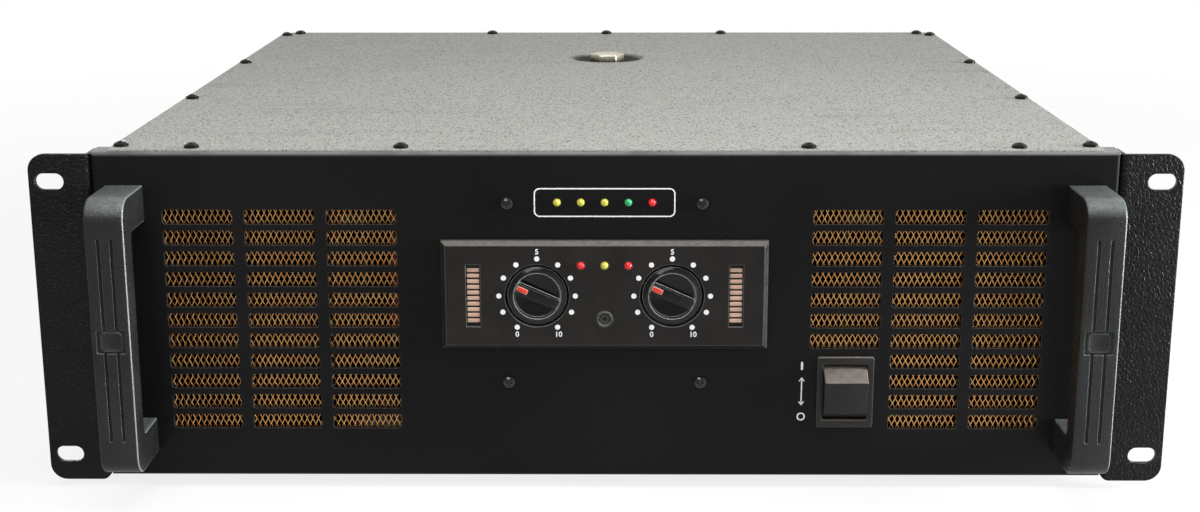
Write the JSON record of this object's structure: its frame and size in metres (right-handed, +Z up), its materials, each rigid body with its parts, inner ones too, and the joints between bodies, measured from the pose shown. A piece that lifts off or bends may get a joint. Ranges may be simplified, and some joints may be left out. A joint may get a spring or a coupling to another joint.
{
  "type": "rack power amplifier",
  "caption": "Rack-mount two-channel power amplifier: vented front with dished volume knobs, level meters, power rocker and grip handles, rear fans and sockets.",
  "frame": {"origin": "middle of the footprint, on the ground under the rubber feet", "axes": "+Z up, front panel faces -Y, +X to the right seen from the front"},
  "size_m": [0.4826, 0.454, 0.1522],
  "materials": {
    "panel_black": "satin black paint with a faint orange peel",
    "ear_black": "leather-grain wrinkle powder coat, black",
    "cover_grey": "warm grey fine-speckled powder coat",
    "rear_black": "satin black powder coat",
    "black_screw": "black oxide",
    "zinc_screw": "zinc plate",
    "handle_plastic": "fine-grained dark grey-green moulding",
    "mesh_gold": "gold-lacquered expanded metal",
    "rubber_black": "matte",
    "control_plastic": "fine-grained black moulding",
    "knob_black": "polished black with a red pointer",
    "lamp_yellow": "tinted lamp lens",
    "lamp_green": "tinted lamp lens",
    "lamp_red": "tinted lamp lens",
    "meter_tan": "unlit bar segments in a black block",
    "switch_black": "moulded, matte",
    "board_green": "solder-masked circuit board",
    "plated": "nickel plate",
    "winding_tape": "yellow polyester tape",
    "bolt_zinc": "yellowed zinc plate",
    "sink_black": "extruded, black anodised",
    "device_black": "moulded epoxy",
    "capacitor_blue": "sleeve",
    "relay_blue": "moulded",
    "fan_black": "glass-filled moulding",
    "guard_wire": "nickel-plated wire",
    "socket_black": "moulded",
    "socket_blue": "moulded",
    "latch_metal": "plated",
    "slider_white": "moulded",
    "reset_red": "moulded",
    "wire_red": "insulated wire"
  },
  "bodies": {
    "case": {"fascia": "panel_black", "ear_left": "ear_black", "ear_right": "ear_black", "ear_screws": "black_screw", "handle_left": "handle_plastic", "handle_right": "handle_plastic", "handle_screws": "zinc_screw", "vent_meshes": "mesh_gold", "chassis_pan": "cover_grey", "rear_panel": "rear_black", "top_cover": "cover_grey", "case_screws": "black_screw", "rubber_feet": "rubber_black", "control_plate": "control_plastic", "control_board": "board_green", "board_spacers": "plated", "fascia_screws": "black_screw", "lamps_yellow": "lamp_yellow", "lamp_green": "lamp_green", "lamps_red": "lamp_red", "meter_blocks": "meter_tan", "pot_bodies": "plated", "pot_nuts": "plated", "power_switch_body": "switch_black", "transformer": "winding_tape", "transformer_pads": "rubber_black", "clamp_plate": "zinc_screw", "centre_bolt": "bolt_zinc", "weld_nut": "zinc_screw", "heatsinks": "sink_black", "output_transistors": "device_black", "driver_boards": "board_green", "supply_board": "board_green", "filter_capacitors": "capacitor_blue", "bridge_rectifiers": "device_black", "output_board": "board_green", "output_relays": "relay_blue", "input_board": "board_green", "fan_frames": "fan_black", "fan_guards": "guard_wire", "input_sockets": "socket_black", "jack_sockets": "socket_black", "speaker_sockets": "socket_blue", "filter_switches": "socket_black", "mains_inlet": "socket_black", "breaker_body": "socket_black", "wiring": "wire_red"},
    "knob_a": {"volume_knob_a": "knob_black", "pot_shaft_a": "plated"},
    "knob_b": {"volume_knob_b": "knob_black", "pot_shaft_b": "plated"},
    "push_button": {"push_button": "switch_black"},
    "power_rocker": {"power_rocker": "switch_black"},
    "rotor_left": {"fan_rotor_left": "fan_black"},
    "rotor_right": {"fan_rotor_right": "fan_black"},
    "latch_a": {"input_latch_a": "latch_metal"},
    "latch_b": {"input_latch_b": "latch_metal"},
    "slider_a": {"filter_slider_a": "slider_white"},
    "slider_b": {"filter_slider_b": "slider_white"},
    "breaker_button": {"breaker_button": "reset_red"}
  },
  "joints": [
    {"name": "volume_a_turn", "type": "hinge", "parent": "case", "child": "knob_a", "pos_m": [-0.0285, -0.194, 0.088], "axis": [0, 1, 0], "range_deg": [-84, 216]},
    {"name": "volume_b_turn", "type": "hinge", "parent": "case", "child": "knob_b", "pos_m": [0.0285, -0.194, 0.088], "axis": [0, 1, 0], "range_deg": [-84, 216]},
    {"name": "button_press", "type": "slide", "parent": "case", "child": "push_button", "axis": [0, 1, 0], "range_m": [0, 0.0012], "stiffness_N_per_m": 900},
    {"name": "power_rocker_tip", "type": "hinge", "parent": "case", "child": "power_rocker", "pos_m": [0.103, -0.19, 0.0446], "axis": [1, 0, 0], "range_deg": [0, 20]},
    {"name": "fan_left_spin", "type": "hinge", "parent": "case", "child": "rotor_left", "pos_m": [-0.158, 0.2073, 0.071], "axis": [0, 1, 0], "continuous": true},
    {"name": "fan_right_spin", "type": "hinge", "parent": "case", "child": "rotor_right", "pos_m": [0.158, 0.2073, 0.071], "axis": [0, 1, 0], "continuous": true},
    {"name": "latch_a_press", "type": "slide", "parent": "case", "child": "latch_a", "axis": [0, -1, 0], "range_m": [0, 0.0012], "stiffness_N_per_m": 600},
    {"name": "latch_b_press", "type": "slide", "parent": "case", "child": "latch_b", "axis": [0, -1, 0], "range_m": [0, 0.0012], "stiffness_N_per_m": 600},
    {"name": "filter_a_slide", "type": "slide", "parent": "case", "child": "slider_a", "axis": [1, 0, 0], "range_m": [0, 0.004]},
    {"name": "filter_b_slide", "type": "slide", "parent": "case", "child": "slider_b", "axis": [1, 0, 0], "range_m": [0, 0.004]},
    {"name": "breaker_reset", "type": "slide", "parent": "case", "child": "breaker_button", "axis": [0, 1, 0], "range_m": [0, 0.003]}
  ]
}
